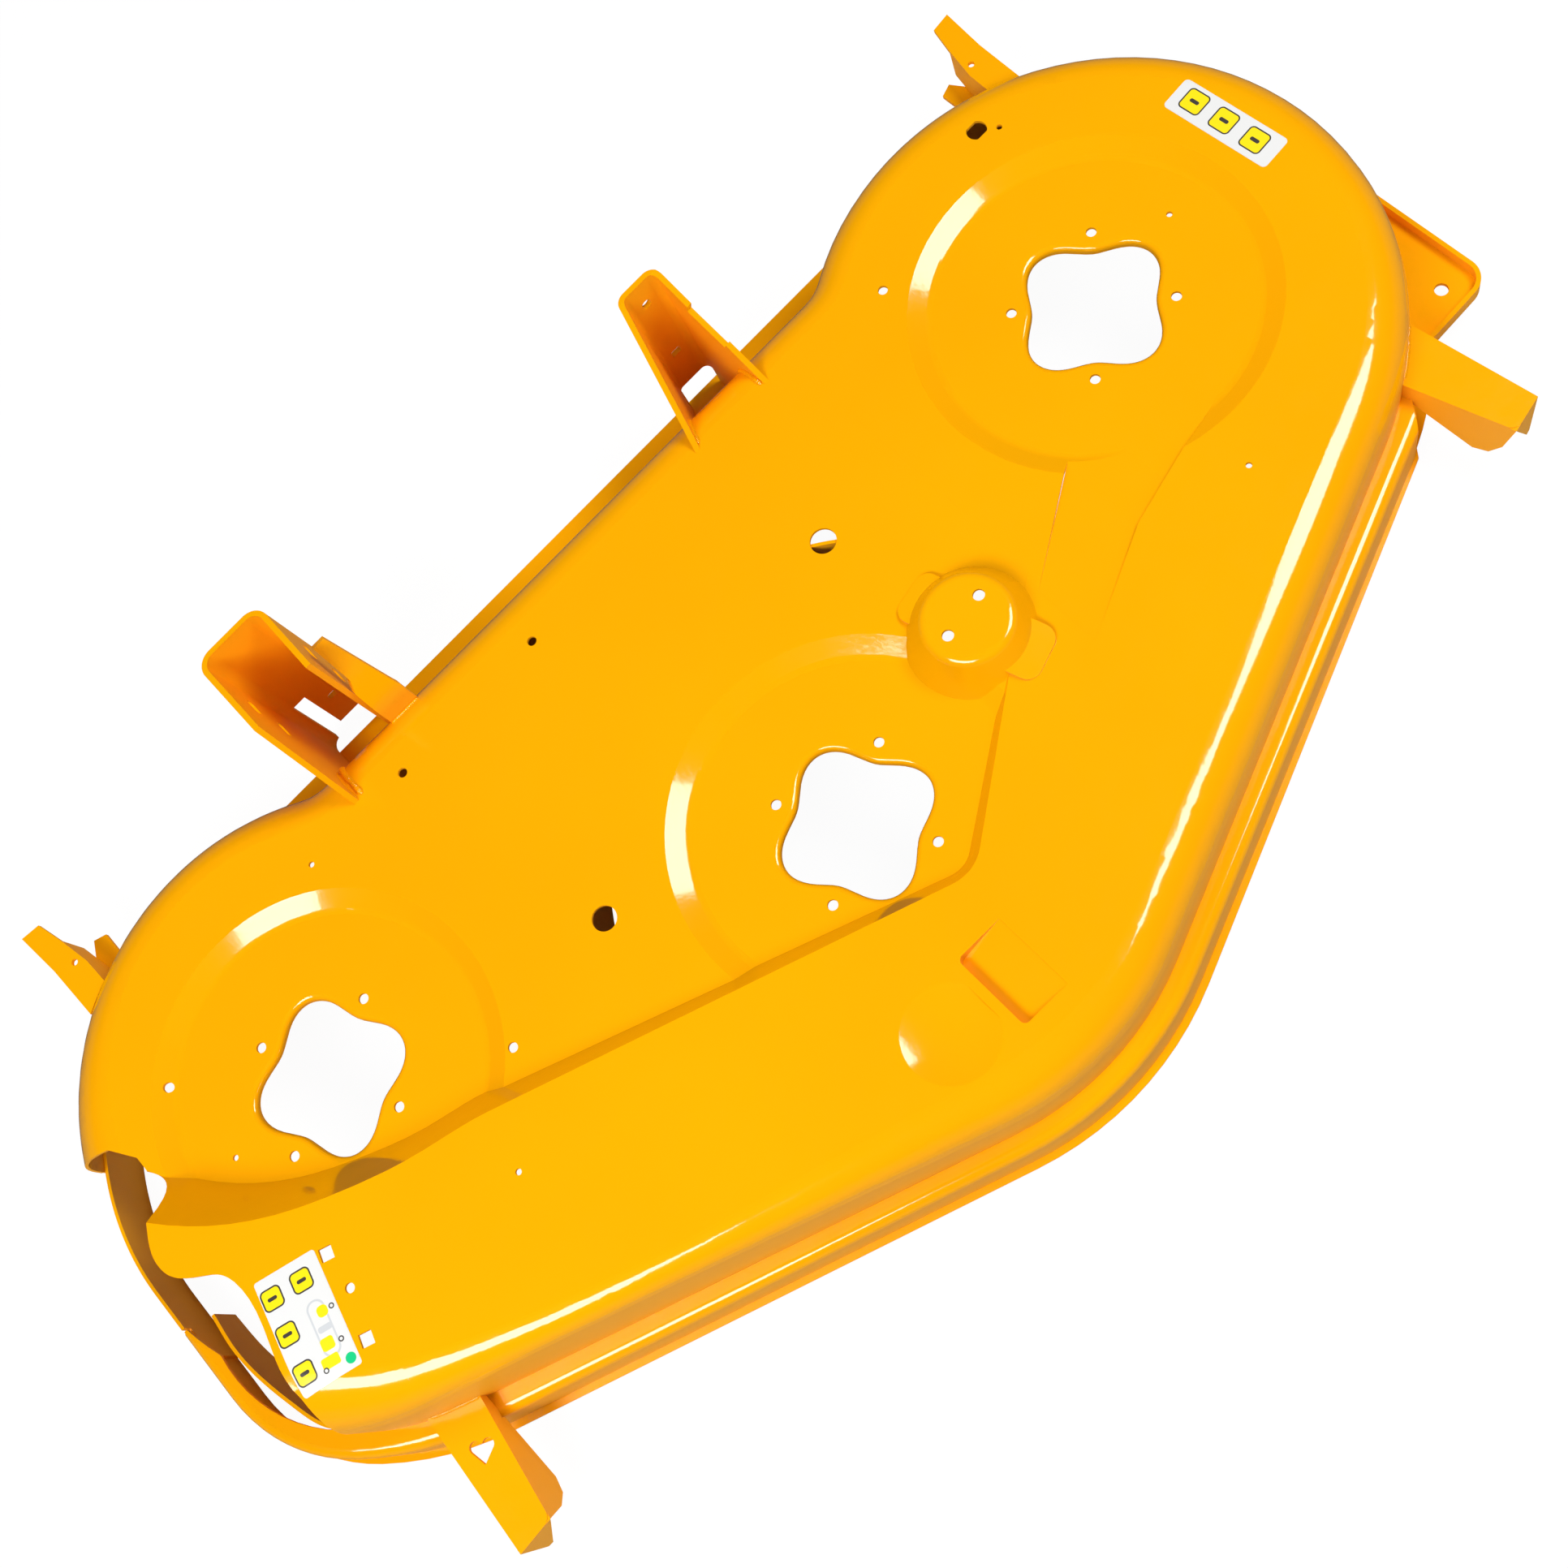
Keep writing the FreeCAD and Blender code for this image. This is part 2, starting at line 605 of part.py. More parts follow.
def strip_face(points, thickness, centre, radius, a0, a1):
    # Plan of a bent plate: a free curve that flows into an arc along the lobe wall.
    joint = polar(centre, radius, a0)
    radial = (joint - centre).normalize()
    end_tangent = V(-radial.y, radial.x, 0)
    outer_pts = [V(x, y, 0) for x, y in points] + [joint]
    outer = flowing_edge(outer_pts, end_tangent)
    inner_pts = []
    for p in outer_pts[:-1]:
        t = outer.tangentAt(outer.Curve.parameter(p))
        inner_pts.append(p + V(-t.y, t.x, 0) * thickness)
    inner_pts.append(joint - radial * thickness)
    inner = flowing_edge(inner_pts, end_tangent)
    return face_of([
        outer, arc(centre, radius, a0, a1), line(polar(centre, radius, a1), polar(centre, radius - thickness, a1)),
        arc(centre, radius - thickness, a0, a1), inner, line(inner_pts[0], outer_pts[0])])


BAND_FRONT_Y = SPINDLE_Y - 71.3


def discharge_band():
    # Runs along the lobe, then straight on inside the skirt's side.
    r1 = LOBE_R - SHEET
    r0 = r1 - SHEET
    start_a = DISCHARGE_REAR_A - BAND_LAP_A
    outer_x = -SPINDLE_X - r1
    inner_x = -SPINDLE_X - r0
    face = face_of([
        arc(C_RIGHT, r1, start_a, 180.0),
        line(V(outer_x, SPINDLE_Y, 0), V(outer_x, BAND_FRONT_Y, 0)),
        line(V(outer_x, BAND_FRONT_Y, 0), V(inner_x, BAND_FRONT_Y, 0)),
        line(V(inner_x, BAND_FRONT_Y, 0), V(inner_x, SPINDLE_Y, 0)),
        arc(C_RIGHT, r0, 180.0, start_a),
        line(polar(C_RIGHT, r0, start_a), polar(C_RIGHT, r1, start_a)),
    ])
    under_ledge = Part.makeBox(20, 63, 20, V(outer_x - 5, SPINDLE_Y - 103.3, LEDGE_Z - 10.5))
    return prism(face, RIM_Z, LEDGE_Z).cut(under_ledge)


FRONT_BAFFLE_TOP = -30.0
BAFFLE_LAP_A = 238.0
BAFFLE_END_A = 247.0


def front_baffle():
    bend = [(-657, 109), (-660, 78), (-657, 40), (-648, 0), (-636, -30.5), (-616.3, -49.3)]
    face = strip_face(bend, SHEET, C_RIGHT, RIGHT_FRONT_R - SHEET, BAFFLE_LAP_A, BAFFLE_END_A)
    plate = prism(face, -100.0, FRONT_BAFFLE_TOP)
    wedge = Part.Face(Part.makePolygon([
        V(-720, 20, -101), V(-720, 130, -101), V(-720, 130, -56), V(-720, 20, -101)]))
    return biggest(plate.cut(wedge.extrude(V(120, 0, 0))))


REAR_BAFFLE_R = LOBE_R - 5.5


def rear_baffle():
    return sector(C_MID, REAR_BAFFLE_R - SHEET, REAR_BAFFLE_R, 26.0, 154.0, -100.0, TOP_Z - SHEET)


def bent_u(plan, thickness, bend_r, z0, z1):
    # U-shaped plate in plan: an open polyline with rounded bends and constant thickness.
    pts = [V(x, y, 0) for x, y in plan]
    outer = polyline_with_bends(pts, bend_r)
    inner_pts = offset_polyline(pts, thickness)
    inner = polyline_with_bends(inner_pts, bend_r - thickness)
    edges = outer + [line(pts[-1], inner_pts[-1])] + inner + [line(inner_pts[0], pts[0])]
    return prism(Part.Face(Part.Wire(Part.__sortEdges__(edges))), z0, z1)


def offset_polyline(pts, distance):
    # Offset to the right of the walking direction.
    out = []
    for k, p in enumerate(pts):
        normals = []
        for a, b in ((k - 1, k), (k, k + 1)):
            if a < 0 or b >= len(pts):
                continue
            d = (pts[b] - pts[a]).normalize()
            normals.append(V(d.y, -d.x, 0))
        if len(normals) == 1:
            out.append(p + normals[0] * distance)
        else:
            mean = (normals[0] + normals[1]).normalize()
            out.append(p + mean * (distance / mean.dot(normals[0])))
    return out


def polyline_with_bends(pts, radius):
    edges = []
    start = pts[0]
    for k in range(1, len(pts) - 1):
        d0 = (pts[k] - pts[k - 1]).normalize()
        d1 = (pts[k + 1] - pts[k]).normalize()
        half = 0.5 * math.acos(max(-1.0, min(1.0, d0.dot(d1))))
        reach = radius * math.tan(half)
        p = pts[k] - d0 * reach
        q = pts[k] + d1 * reach
        toward = (d1 - d0).normalize()
        centre = pts[k] + toward * (radius / math.cos(half))
        edges.append(line(start, p))
        edges.append(Part.Arc(p, centre - toward * radius, q).toShape())
        start = q
    edges.append(line(start, pts[-1]))
    return edges


def side_profile(points, x0, x1):
    # Prism along X from a (y, z) profile.
    face = polygon([(x0, y, z) for y, z in points])
    return face.extrude(V(x1 - x0, 0, 0))


def deck_mass():
    # The space that the deck takes, used to trim the brackets that are welded to it.
    top = prism(face_of(upper_outline(0.0)), RIM_Z, TOP_Z)
    edges = [e for e in top.Edges if e.BoundBox.ZMin > TOP_Z - 0.1]
    top = top.makeFillet(SHOULDER_R, edges)
    return top.fuse(flange_plate())


def left_rear_hanger(mass):
    plate = bent_u([(131, 330), (173, 446), (216, 446), (222, 330)], HANGER_T, 12.0, RIM_Z, 90)
    profile = [(335, 8), (440, 89), (470, 89), (470, RIM_Z + SHEET), (300, RIM_Z + SHEET), (300, -20), (335, -20)]
    plate = plate.common(side_profile(profile, 100, 260))
    window = Part.makeBox(37, 60, 80, V(177, 400, -155))
    plate = plate.cut(window)
    plate = plate.cut(Part.makeCylinder(5.0, 60, V(193, 400, 60), V(0, 1, 0)))
    plate = plate.cut(Part.makeBox(10, 60, 8, V(188, 400, -29)))
    diamond = side_profile([(403, 76), (413, 52), (376, 28), (366, 50)], 205, 240)
    plate = plate.cut(diamond)
    return biggest(plate.cut(mass))


def right_rear_hanger(mass):
    plate = bent_u([(-279, 320), (-282, 461), (-221, 461), (-221, 382)], -HANGER_T, 11.0, RIM_Z, 128)
    outer = [(329, 8), (374, 126), (470, 116), (470, RIM_Z + SHEET), (300, RIM_Z + SHEET), (300, -20), (329, -20)]
    inner = [(379, 126), (470, 116), (470, -45), (440, -60), (384, -52)]
    legs = side_profile(outer, -300, -262).fuse(side_profile(inner, -262, -200))
    back = Part.makeBox(44, 40, 160, V(-262, 440, -97))
    plate = plate.common(legs.fuse(back.common(side_profile(outer, -262, -218))))
    window = Part.makeBox(14, 60, 100, V(-273, 430, -126))
    plate = plate.cut(window)
    plate = plate.cut(Part.makeBox(8, 60, 8, V(-247, 430, -59)))
    for y, z in ((427, 75), (415, 38)):
        slot = Part.makeCylinder(5.5, 90, V(-300, y, z), V(1, 0, 0))
        slot = slot.fuse(Part.makeCylinder(5.5, 90, V(-300, y - 7, z), V(1, 0, 0)))
        slot = slot.fuse(Part.makeBox(90, 7, 11, V(-300, y - 7, z - 5.5)))
        plate = plate.cut(slot)
    return biggest(plate.cut(mass))


def biggest(shape):
    return sorted(shape.Solids, key=lambda s: s.Volume)[-1]


HOOK_T = 5.0


def rear_hook_strip(mass):
    # Upright strip on the rear edge; its narrow upper end leans back.
    profile = polyline_with_bends([V(0, 364, -40), V(0, 366, 30), V(0, 404, 104)], 60.0)
    back = polyline_with_bends([V(0, 364 + HOOK_T, -40), V(0, 366 + HOOK_T, 28.8), V(0, 408.4, 101.7)], 55.0)
    edges = profile + [line(V(0, 404, 104), V(0, 408.4, 101.7))] + back
    edges.append(line(V(0, 364 + HOOK_T, -40), V(0, 364, -40)))
    face = Part.Face(Part.Wire(Part.__sortEdges__(edges)))
    face.translate(V(-215, 0, 0))
    plate = face.extrude(V(31, 0, 0))
    front = Part.Face(Part.makePolygon([
        V(-215, 300, -40), V(-184, 300, -40), V(-184, 300, 30), V(-198, 300, 110),
        V(-209, 300, 110), V(-209, 300, 64), V(-215, 300, 52), V(-215, 300, -40)]))
    plate = plate.common(front.extrude(V(0, 200, 0)))
    return biggest(plate.cut(mass))


def roller_bracket(root_in, root_out, tip_out, tip_in, top_z, lap_z):
    # Top plate with a downturned end flange and a downturned inner flange.
    pts = [V(x, y, 0) for x, y in (root_in, root_out, tip_out, tip_in)]
    top = prism(Part.Face(Part.makePolygon(pts + [pts[0]])), top_z - BRACKET_T, top_z)
    tip_edges = [e for e in top.Edges if e.BoundBox.ZLength > 3.0]
    near_tip = [e for e in tip_edges if (e.BoundBox.Center - V(tip_in[0], tip_in[1], top_z - 2)).Length < 3.0]
    top = top.makeFillet(9.0, near_tip)

    def flange(a, b, drops):
        d = (b - a).normalize()
        n = V(-d.y, d.x, 0)
        centre = (pts[0] + pts[2]) * 0.5
        if n.dot(centre - a) < 0:
            n = n * -1.0
        ring = [a + V(0, 0, top_z - 1.0), b + V(0, 0, top_z - 1.0)]
        span = (b - a).Length
        for share, z in drops:
            ring.append(a + d * (span * share) + V(0, 0, z))
        face = Part.Face(Part.makePolygon(ring + [ring[0]]))
        return face.extrude(n * BRACKET_T)

    end = flange(pts[3], pts[2], ((0.98, lap_z - 4), (0.86, lap_z - 6), (0.12, top_z - 10)))
    side = flange(pts[0], pts[3], ((0.93, lap_z + 18), (0.84, lap_z), (0.72, lap_z - 4), (0.05, top_z - 12)))
    return top.fuse(end).fuse(side)


def left_front_roller_bracket(mass):
    plate = roller_bracket((563, -40), (612, -20), (626, -145), (593, -152), -40.0, -96.0)
    return biggest(plate.cut(mass))


HEART_X = -553.6
HEART_Y = -126.5


def right_front_roller_bracket(mass):
    plate = roller_bracket((-529, -90), (-573, -66), (-582, -208), (-547.5, -205), -40.0, -96.0)
    heart = slab([(-9.4, -3.2), (0, -14.5), (9.4, -3.2), (0, 2)], -60, -20)
    heart = heart.fuse(cylinder(-5.6, 0, 5.0, -60, -20)).fuse(cylinder(5.6, 0, 5.0, -60, -20))
    heart.rotate(V(0, 0, 0), V(0, 0, 1), -28.0)
    heart.translate(V(HEART_X, HEART_Y, 0))
    plate = plate.cut(heart)
    return biggest(plate.cut(mass))


def wheel_bracket(side, mass):
    # Strap with a web on its inner edge and a foot that turns inward.
    top_z = -20.0
    s = side
    strap = slab([(s * 551, 380), (s * 553, 425), (s * 560, 458), (s * 567, 485), (s * 586, 487), (s * 581, 440),
                  (s * 579, 380)], top_z - BRACKET_T, top_z)
    web = slab([(s * 551, 380), (s * 553, 425), (s * 560, 458), (s * 564, 457), (s * 557, 424), (s * 555, 380)],
               -56.0, top_z - 1.0)
    foot = slab([(s * 537, 380), (s * 537, 452), (s * 549, 456), (s * 558, 440), (s * 555, 380)], -60.0, -56.0)
    plate = strap.fuse(web).fuse(foot)
    plate = plate.cut(cylinder(s * 562, 432, 3.0, -30, -10))
    return biggest(plate.cut(mass))


TRAY_CORNER_R = 21.0


def left_side_plate(mass):
    # Tray: flat plate with an upturned rim along its outer sides.
    z = -96.0
    corners = [V(590, 146, 0), V(706.5, 104, 0), V(706.5, -33.5, 0), V(590, -38, 0)]
    faces = []
    for inset in (0.0, BRACKET_T):
        pts = offset_polyline(corners, inset)
        edges = polyline_with_bends(pts, TRAY_CORNER_R - inset)
        edges.append(line(pts[-1], pts[0]))
        faces.append(face_of(edges))
    plate = prism(faces[0], z, z + BRACKET_T)
    plate = plate.fuse(prism(faces[0].cut(faces[1]), z, z + 15.0))
    plate = plate.cut(cylinder(676, -8, 6.0, z - 5, z + 10))
    return biggest(plate.cut(mass))


def export(name, shape):
    shape = shape.removeSplitter()
    shape.exportStep("parts/" + name + ".step")
    print(name, "valid", shape.isValid(), "solids", len(shape.Solids), "volume", round(shape.Volume))


shell = deck_shell()
export("deck_shell", shell)
mass = deck_mass()
skirt = prism(face_of(skirt_outline(0.0)), RIM_Z, LEDGE_Z)
mass = mass.fuse(skirt)
export("discharge_band", discharge_band())
export("front_baffle", front_baffle())
export("rear_baffle", rear_baffle())
export("left_rear_hanger", left_rear_hanger(mass))
export("right_rear_hanger", right_rear_hanger(mass))
export("rear_hook_strip", rear_hook_strip(mass))
export("left_front_roller_bracket", left_front_roller_bracket(mass))
export("right_front_roller_bracket", right_front_roller_bracket(mass))
export("left_rear_wheel_bracket", wheel_bracket(1.0, mass))
export("right_rear_wheel_bracket", wheel_bracket(-1.0, mass))
export("left_side_plate", left_side_plate(mass))
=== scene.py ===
import bpy
import bmesh
import json
import math
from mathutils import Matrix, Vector
from mathutils.bvhtree import BVHTree

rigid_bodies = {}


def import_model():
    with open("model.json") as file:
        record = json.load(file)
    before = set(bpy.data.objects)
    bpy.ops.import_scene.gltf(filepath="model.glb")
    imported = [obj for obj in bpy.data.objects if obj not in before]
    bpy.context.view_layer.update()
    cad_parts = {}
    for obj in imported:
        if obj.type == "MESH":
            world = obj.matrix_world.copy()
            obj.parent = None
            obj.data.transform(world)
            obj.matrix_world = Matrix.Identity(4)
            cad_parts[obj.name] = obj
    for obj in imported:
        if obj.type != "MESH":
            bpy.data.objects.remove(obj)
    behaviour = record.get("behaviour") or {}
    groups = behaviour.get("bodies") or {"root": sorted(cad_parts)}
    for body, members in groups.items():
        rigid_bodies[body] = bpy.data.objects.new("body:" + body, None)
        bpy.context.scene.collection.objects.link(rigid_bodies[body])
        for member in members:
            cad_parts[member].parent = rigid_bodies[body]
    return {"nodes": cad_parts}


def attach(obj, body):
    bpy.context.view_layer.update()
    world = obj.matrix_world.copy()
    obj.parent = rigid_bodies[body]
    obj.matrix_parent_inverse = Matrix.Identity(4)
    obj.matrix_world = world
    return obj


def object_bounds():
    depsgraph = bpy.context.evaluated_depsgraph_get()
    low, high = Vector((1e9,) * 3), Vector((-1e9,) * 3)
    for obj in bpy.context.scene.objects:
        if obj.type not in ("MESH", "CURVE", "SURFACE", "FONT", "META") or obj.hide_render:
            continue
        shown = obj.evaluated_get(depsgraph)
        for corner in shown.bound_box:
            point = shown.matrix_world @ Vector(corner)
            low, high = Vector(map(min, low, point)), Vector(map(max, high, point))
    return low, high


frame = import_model()
cad_low, cad_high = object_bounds()

MM = 0.001
LOOK_DOWN_FROM = 0.3


class Socket:
    """A shader socket that adds Math nodes when it is used in an expression."""

    def __init__(self, tree, socket):
        self.tree = tree
        self.socket = socket

    def _math(self, operation, *values):
        node = self.tree.nodes.new("ShaderNodeMath")
        node.operation = operation
        for slot, value in zip(node.inputs, values):
            if isinstance(value, Socket):
                self.tree.links.new(value.socket, slot)
            else:
                slot.default_value = value
        return Socket(self.tree, node.outputs[0])

    def __add__(self, other):
        return self._math("ADD", self, other)

    def __radd__(self, other):
        return self._math("ADD", other, self)

    def __sub__(self, other):
        return self._math("SUBTRACT", self, other)

    def __rsub__(self, other):
        return self._math("SUBTRACT", other, self)

    def __mul__(self, other):
        return self._math("MULTIPLY", self, other)

    def __rmul__(self, other):
        return self._math("MULTIPLY", other, self)

    def smallest(self, other):
        return self._math("MINIMUM", self, other)

    def largest(self, other):
        return self._math("MAXIMUM", self, other)

    def size(self):
        return self._math("ABSOLUTE", self)

    def root(self):
        return self._math("SQRT", self)

    def clipped(self):
        return self.largest(0.0).smallest(1.0)


class Finish:
    """One material or world tree, built node by node."""

    def __init__(self, name, world=False):
        self.world = world
        self.block = bpy.data.worlds.new(name) if world else bpy.data.materials.new(name)
        self.block.use_nodes = True
        self.tree = self.block.node_tree
        self.tree.nodes.clear()

    def node(self, kind, settings=None, inputs=None, output=0):
        node = self.tree.nodes.new(kind)
        for key, value in (settings or {}).items():
            if key == "stops":
                ramp = node.color_ramp
                while len(ramp.elements) < len(value):
                    ramp.elements.new(0.5)
                for element, (place, colour) in zip(ramp.elements, value):
                    element.position = place
                    element.color = colour
            else:
                setattr(node, key, value)
        for key, value in (inputs or {}).items():
            slot = node.inputs[key]
            if isinstance(value, Socket):
                self.tree.links.new(value.socket, slot)
            else:
                slot.default_value = value
        return Socket(self.tree, node.outputs[output])

    def colour_mix(self, share, first, second):
        return self.node("ShaderNodeMix", {"data_type": "RGBA"}, {0: share, 6: first, 7: second}, 2)

    def object_place(self):
        return self.node("ShaderNodeTexCoord", output="Object")

    def part(self, vector, axis):
        return self.node("ShaderNodeSeparateXYZ", None, {0: vector}, axis)

    def noise(self, place, scale, detail=2.0):
        return self.node("ShaderNodeTexNoise", None, {"Vector": place, "Scale": scale, "Detail": detail})

    def bump(self, height, distance, strength=1.0, under=None):
        values = {"Height": height, "Distance": distance, "Strength": strength}
        if under is not None:
            values["Normal"] = under
        return self.node("ShaderNodeBump", None, values)

    def surface(self, shader):
        kind = "ShaderNodeOutputWorld" if self.world else "ShaderNodeOutputMaterial"
        out = self.tree.nodes.new(kind)
        self.tree.links.new(shader.socket, out.inputs["Surface"])
        return self.block


# Paint of the deck and of its welded seams.

YELLOW = (1.0, 0.435, 0.0, 1.0)
YELLOW_DEEP = (1.0, 0.385, 0.0, 1.0)
CLOUD_SCALE = 3.0
CLOUD_START = 0.35
CLOUD_CONTRAST = 1.6
WAVE_SCALE = 16.0
GRAIN_SCALE = 240.0
SMEAR_SCALE = 55.0
GLOSS_ROUGHNESS = 0.10
SMEAR_SPREAD = 0.06
CLEAR_COAT = 0.55
WALL_ROUGHNESS = 0.45
WALL_LIMIT = 0.42
WALL_FADE = 4.0
WAVE_HEIGHT = 0.0009
GRAIN_HEIGHT = 0.00007
SEAM_PEEL = 3.0


def gloss_paint(name, colour, deep, peel=1.0):
    # Level faces are glossy under a clear coat; upright walls are duller and have no coat.
    finish = Finish(name)
    place = finish.object_place()
    cloud = finish.noise(place, CLOUD_SCALE, detail=3.0)
    waves = finish.noise(place, WAVE_SCALE)
    grain = finish.noise(place, GRAIN_SCALE, detail=1.5)
    smear = finish.noise(place, SMEAR_SCALE, detail=3.0)
    base = finish.colour_mix((cloud - CLOUD_START) * CLOUD_CONTRAST, colour, deep)
    facing = finish.node("ShaderNodeTexCoord", output="Normal")
    levelness = finish.part(facing, "Z").size()
    wall = ((WALL_LIMIT - levelness) * WALL_FADE).clipped()
    rough = GLOSS_ROUGHNESS + (smear - 0.5) * SMEAR_SPREAD + wall * WALL_ROUGHNESS
    coat = CLEAR_COAT - wall * CLEAR_COAT
    normal = finish.bump(waves, WAVE_HEIGHT * peel, 0.5)
    normal = finish.bump(grain, GRAIN_HEIGHT * peel, 0.8, normal)
    shader = finish.node("ShaderNodeBsdfPrincipled", None, {
        "Base Color": base, "Roughness": rough, "Normal": normal,
        "Specular IOR Level": 0.5, "Coat Weight": coat, "Coat Roughness": 0.03})
    return finish.surface(shader)


deck_paint = gloss_paint("deck_gloss_paint", YELLOW, YELLOW_DEEP)
seam_paint = gloss_paint("welded_seam_paint", YELLOW_DEEP, YELLOW, SEAM_PEEL)

for node in frame["nodes"].values():
    if not node.material_slots:
        node.data.materials.append(deck_paint)
    for slot in node.material_slots:
        slot.material = deck_paint


def surface_tree(node):
    mesh = node.data
    points = [node.matrix_world @ v.co for v in mesh.vertices]
    return BVHTree.FromPolygons(points, [p.vertices[:] for p in mesh.polygons])


shell_surface = surface_tree(frame["nodes"]["deck_shell"])


# The roof is level on the left and climbs to the discharge on the right.
# Levels are in millimetres, and the depth that tells a hole from the roof is in metres.
ROOF_Z = 8.0
RAMP_MIDDLE_Z = 22.0
RAMP_SLOPE = 0.0695
HOLE_DEPTH = 0.012


def roof_level(x):
    return max(ROOF_Z, RAMP_MIDDLE_Z - RAMP_SLOPE * x / MM) * MM


def look_down(x, y):
    hit, normal, _, _ = shell_surface.ray_cast(Vector((x, y, LOOK_DOWN_FROM)), Vector((0, 0, -1)))
    return hit, normal


def drop_on_deck(x, y):
    # A point over a hole, or past the deck's edge, stays at the level of the roof.
    hit, normal = look_down(x, y)
    level = roof_level(x)
    if hit is None or hit.z < level - HOLE_DEPTH:
        return Vector((x, y, level)), Vector((0, 0, 1))
    return hit, normal


# Printed plates: plain white film with generic fields, laid on the deck's top surface.
# Sizes are in millimetres; the lifts, which hold the film's two faces off the steel, are in metres.

WHITE = (0.80, 0.80, 0.79, 1.0)
FIELD_YELLOW = (1.0, 0.77, 0.0, 1.0)
FIELD_GREY = (0.62, 0.64, 0.66, 1.0)
FIELD_DARK = (0.05, 0.045, 0.04, 1.0)
FIELD_GREEN = (0.0, 0.60, 0.22, 1.0)
FRAME_WIDTH = 1.3
EDGE_SHARPNESS = 5.0
PLATE_UV = "plate_mm"
PLATE_ROWS = 56
PLATE_COLUMNS = 24
PLATE_FACE_LIFT = 0.00035
PLATE_BACK_LIFT = 0.00003
LEAST_HALF_WIDTH = 0.02


class Print:
    """Flat fields on a plate; places and sizes are in millimetres from its first corner."""

    def __init__(self, name):
        self.finish = Finish(name)
        uv = self.finish.node("ShaderNodeUVMap", {"uv_map": PLATE_UV})
        self.x = self.finish.part(uv, "X")
        self.y = self.finish.part(uv, "Y")
        self.colour = WHITE

    def field(self, place, wide, high, corner, colour):
        dx = ((self.x - place[0]).size() - (0.5 * wide - corner)).largest(0.0)
        dy = ((self.y - place[1]).size() - (0.5 * high - corner)).largest(0.0)
        reach = (dx * dx + dy * dy).root() - corner
        cover = (0.5 - reach * EDGE_SHARPNESS).clipped()
        self.colour = self.finish.colour_mix(cover, self.colour, colour)

    def framed_field(self, place, wide, high, corner, colour):
        border = 2.0 * FRAME_WIDTH
        self.field(place, wide + border, high + border, corner + FRAME_WIDTH, FIELD_DARK)
        self.field(place, wide, high, corner, colour)

    def done(self):
        shader = self.finish.node("ShaderNodeBsdfPrincipled", None, {
            "Base Color": self.colour, "Roughness": 0.38, "Specular IOR Level": 0.4})
        return self.finish.surface(shader)


def plate_outline_half(place, length, width, corner):
    # Half width of a rounded rectangle at a distance along its length.
    past = abs(place) - (0.5 * length - corner)
    if past <= 0.0:
        return 0.5 * width
    return 0.5 * width - corner + math.sqrt(max(corner ** 2 - past ** 2, 0.0))


def lay_plate(name, material, centre, along, length, width, corner):
    # Rows run across the plate and follow its rounded outline; every point is dropped on the deck.
    run = Vector(along).normalized()
    across = Vector((-run.y, run.x))
    turns = [0.5 * math.pi * (2.0 * k / PLATE_ROWS - 1.0) for k in range(PLATE_ROWS + 1)]
    rows = [0.5 * length * math.sin(turn) for turn in turns]
    bm = bmesh.new()
    uv_layer = bm.loops.layers.uv.new(PLATE_UV)
    top, low, places = [], [], {}
    for row in rows:
        half = max(plate_outline_half(row, length, width, corner), LEAST_HALF_WIDTH)
        line_top, line_low = [], []
        for c in range(PLATE_COLUMNS + 1):
            side = half * (2.0 * c / PLATE_COLUMNS - 1.0)
            x = (centre[0] + run.x * row + across.x * side) * MM
            y = (centre[1] + run.y * row + across.y * side) * MM
            spot, normal = drop_on_deck(x, y)
            line_top.append(bm.verts.new(spot + normal * PLATE_FACE_LIFT))
            line_low.append(bm.verts.new(spot + normal * PLATE_BACK_LIFT))
            for vertex in (line_top[-1], line_low[-1]):
                places[vertex] = (row + 0.5 * length, side + 0.5 * width)
        top.append(line_top)
        low.append(line_low)
    for k in range(PLATE_ROWS):
        for c in range(PLATE_COLUMNS):
            bm.faces.new((top[k][c], top[k + 1][c], top[k + 1][c + 1], top[k][c + 1]))
            bm.faces.new((low[k][c], low[k][c + 1], low[k + 1][c + 1], low[k + 1][c]))
        bm.faces.new((top[k][0], low[k][0], low[k + 1][0], top[k + 1][0]))
        bm.faces.new((top[k][-1], top[k + 1][-1], low[k + 1][-1], low[k][-1]))
    for c in range(PLATE_COLUMNS):
        bm.faces.new((top[0][c], top[0][c + 1], low[0][c + 1], low[0][c]))
        bm.faces.new((top[-1][c], low[-1][c], low[-1][c + 1], top[-1][c + 1]))
    for face in bm.faces:
        for loop in face.loops:
            loop[uv_layer].uv = places[loop.vert]
    bmesh.ops.recalc_face_normals(bm, faces=bm.faces)
    mesh = bpy.data.meshes.new(name)
    bm.to_mesh(mesh)
    bm.free()
    mesh.materials.append(material)
    plate = bpy.data.objects.new(name, mesh)
    bpy.context.collection.objects.link(plate)
    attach(plate, "root")


